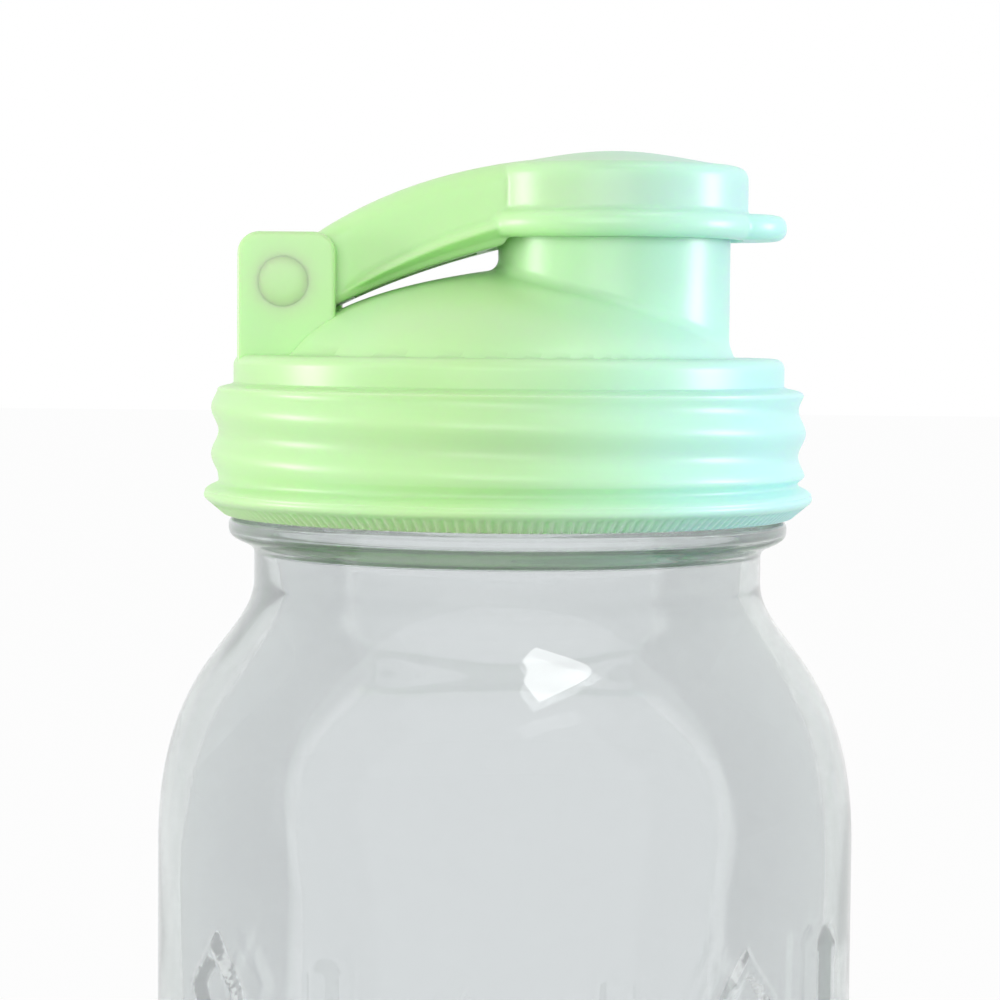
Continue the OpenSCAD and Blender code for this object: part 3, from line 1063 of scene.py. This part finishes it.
    def well(self) -> bpy.types.Object:
        """Builds the round hollow that takes the spout."""
        r = self.cap_r - self.wall
        outline = [(0, self.edge_z - 2), (r + 0.5, self.edge_z - 2), (r + 0.5, self.edge_z),
                   (r, self.edge_z + 0.7),
                   (r, self.seal_top - 0.4), (r - 0.4, self.seal_top), (0, self.seal_top)]
        well = loft("well", revolve_rings(np.array(outline), np.arange(192) * math.tau / 192))
        well.data.transform(Matrix.Translation(Vector((self.lid.spout_x, 0, 0)) * MM))
        return well

    def channel(self) -> bpy.types.Object:
        """Builds the hollow along the arm's underside."""
        start = -self.lid.ear_in + self.channel_wall
        half = self.lid.ear_gap / 2 - self.side_gap - self.channel_wall
        end = self.lid.spout_x - self.cap_r - 0.3
        deep = 2 * self.channel_wall
        roof = bezier([(start, self.lid.hinge_z + 2.4), (-14, self.side_z - 1.2 - deep),
                       (self.arm_end, self.side_z + 0.4 - deep)], 30)
        outline = [(start, 0), (end, 0)] + [(x, z) for x, z in roof[::-1] if x < end]
        plate = slab("channel", close_and_refine(outline), -half, half, 0.5)
        plate.data.transform(Matrix.Rotation(math.pi / 2, 4, "X"))
        return plate

    def build(self, material: bpy.types.Material) -> bpy.types.Object:
        """Builds the flip cap and dresses it.

        Args:
            material: the plastic.

        Returns:
            The flip cap.
        """
        cap = gather([self.disc(), self.tab(), self.arm(), self.knuckle()])
        cap.name = "flip_cap_moulded"
        melt(cap, self.skin_cell, self.skin_rounds)
        combine(cap, self.well(), Join.CUT)
        combine(cap, self.channel(), Join.CUT)
        cap.data.transform(Matrix.Translation(Vector((0, 0, self.lid.ledge_z)) * MM))
        combine(cap, self.lid.pin_hole(self.lid.pin_r + 0.06), Join.CUT)
        shade(cap, LID_CREASE)
        dress(cap, material, Body.CAP, Slot.PLASTIC, "flip_cap")
        return cap


@dataclass
class Seals:
    """The soft rim liner and spout seal, whose plain rings need only their finish."""

    nodes: tuple[str, ...] = ("rim_liner", "spout_seal")

    def build(self, finish: MouldedSilicone) -> None:
        """Gives both seals their silicone."""
        material = finish.build()
        for name in self.nodes:
            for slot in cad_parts[name].material_slots:
                slot.material = material
            LOG.info("%s keeps its shape", name)


# ---------------------------------------------------------------- studio


@dataclass
class Studio:
    """Pale floor, soft lamps and the camera, in millimetres."""

    ledge_z: float
    eye_up: float = 2.8
    eye_away: float = 356.0
    eye_side: float = -1.0
    pitch_deg: float = 3.41
    roll_deg: float = 0.5
    lens: float = 100.0
    sky: float = 0.5

    def floor(self, finish: WhiteSweep) -> None:
        """Lays a wide floor whose far edge is beyond sight."""
        half = 6000.0
        ticks = np.linspace(-half, half, 9)
        corners = np.array([(x, y, 0.0) for y in ticks for x in ticks])
        rows = len(ticks)
        faces = [(r * rows + c, r * rows + c + 1, (r + 1) * rows + c + 1, (r + 1) * rows + c)
                 for r in range(rows - 1) for c in range(rows - 1)]
        floor = new_object("studio_floor", corners, faces)
        floor.data.materials.append(finish.build())

    def world(self) -> None:
        """Fills the room with even light and shows it white behind the object."""
        world = bpy.data.worlds.new("white_room")
        bpy.context.scene.world = world
        world.use_nodes = True
        tree = world.node_tree
        tree.nodes.clear()
        plain = colour("#ffffff")
        fill = add_node(tree, "ShaderNodeBackground", {"Color": plain, "Strength": self.sky}).outputs[0]
        white = add_node(tree, "ShaderNodeBackground", {"Color": plain, "Strength": 1.0}).outputs[0]
        mixed = add_node(tree, "ShaderNodeMixShader",
                         {0: seen_directly(tree), 1: fill, 2: white}).outputs[0]
        add_node(tree, "ShaderNodeOutputWorld", {"Surface": mixed})

    def lamp(self, name: str, at: tuple[float, float, float], size: tuple[float, float], watts: float,
             only: Sequence[bpy.types.Object] = ()) -> None:
        """Hangs a softbox that faces the lid.

        Args:
            name: the lamp's name.
            at: its place in millimetres.
            size: its width and height in millimetres.
            watts: its power.
            only: the pieces that it lights, as if flagged off from the others; none for all.
        """
        light = bpy.data.lights.new(name, "AREA")
        light.shape = "RECTANGLE"
        light.size, light.size_y = size[0] * MM, size[1] * MM
        light.energy = watts
        lamp = bpy.data.objects.new(name, light)
        bpy.context.scene.collection.objects.link(lamp)
        lamp.location = Vector(at) * MM
        aim = Vector((0, 0, self.ledge_z)) * MM - lamp.location
        lamp.rotation_euler = aim.to_track_quat("-Z", "Y").to_euler()
        if only:
            lit = bpy.data.collections.new(f"{name}_lights")
            for piece in only:
                lit.objects.link(piece)
            lamp.light_linking.receiver_collection = lit

    def camera(self) -> None:
        """Places the camera level with the lid, looking a little down."""
        data = bpy.data.cameras.new("camera")
        data.lens = self.lens
        data.sensor_width = 36.0
        data.clip_start = 0.01
        data.clip_end = 50.0
        camera = bpy.data.objects.new("camera", data)
        bpy.context.scene.collection.objects.link(camera)
        look = Matrix.Rotation(math.radians(90 - self.pitch_deg), 4, "X")
        roll = Matrix.Rotation(math.radians(self.roll_deg), 4, "Z")
        eye = Vector((self.eye_side, -self.eye_away, self.ledge_z + self.eye_up)) * MM
        camera.matrix_world = Matrix.Translation(eye) @ look @ roll
        bpy.context.scene.camera = camera

    def build(self, plastic: Sequence[bpy.types.Object]) -> None:
        """Builds the whole studio.

        Args:
            plastic: the moulded pieces, which the side lamps light without glaring in the glass.
        """
        self.floor(WhiteSweep())
        self.world()
        high = self.ledge_z
        self.lamp("left_softbox", (-900, -60, high + 60), (240, 280), 3.8, plastic)
        self.lamp("right_softbox", (900, -40, high + 60), (240, 280), 4.0, plastic)
        self.lamp("front_softbox", (-150, -1500, high + 260), (1100, 700), 9.0, plastic)
        self.lamp("top_softbox", (280, -300, high + 830), (460, 130), 1.2)
        self.camera()


def main() -> None:
    """Builds every piece and the studio."""
    logging.basicConfig(level=logging.INFO, format="%(name)s: %(message)s")
    jar_low, jar_high = (np.array(corner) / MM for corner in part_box("glass_jar"))
    seal_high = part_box("spout_seal")[1][2] / MM
    liner_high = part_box("rim_liner")[1][2] / MM
    lid = ScrewLid(ledge_z=liner_high + 2.1)
    mint = MintPolypropylene().build()
    Jar(height=jar_high[2], body_r=(jar_high[0] - jar_low[0]) / 2).build(SodaLimeGlass())
    cap = FlipCap(lid=lid, seal_top=seal_high - lid.ledge_z)
    moulded = [lid.build(mint), lid.build_pin(mint), cap.build(mint)]
    Seals().build(MouldedSilicone())
    Studio(ledge_z=lid.ledge_z).build(moulded)
    bpy.context.scene.view_settings.view_transform = "Standard"


if __name__ == "__main__":
    main()
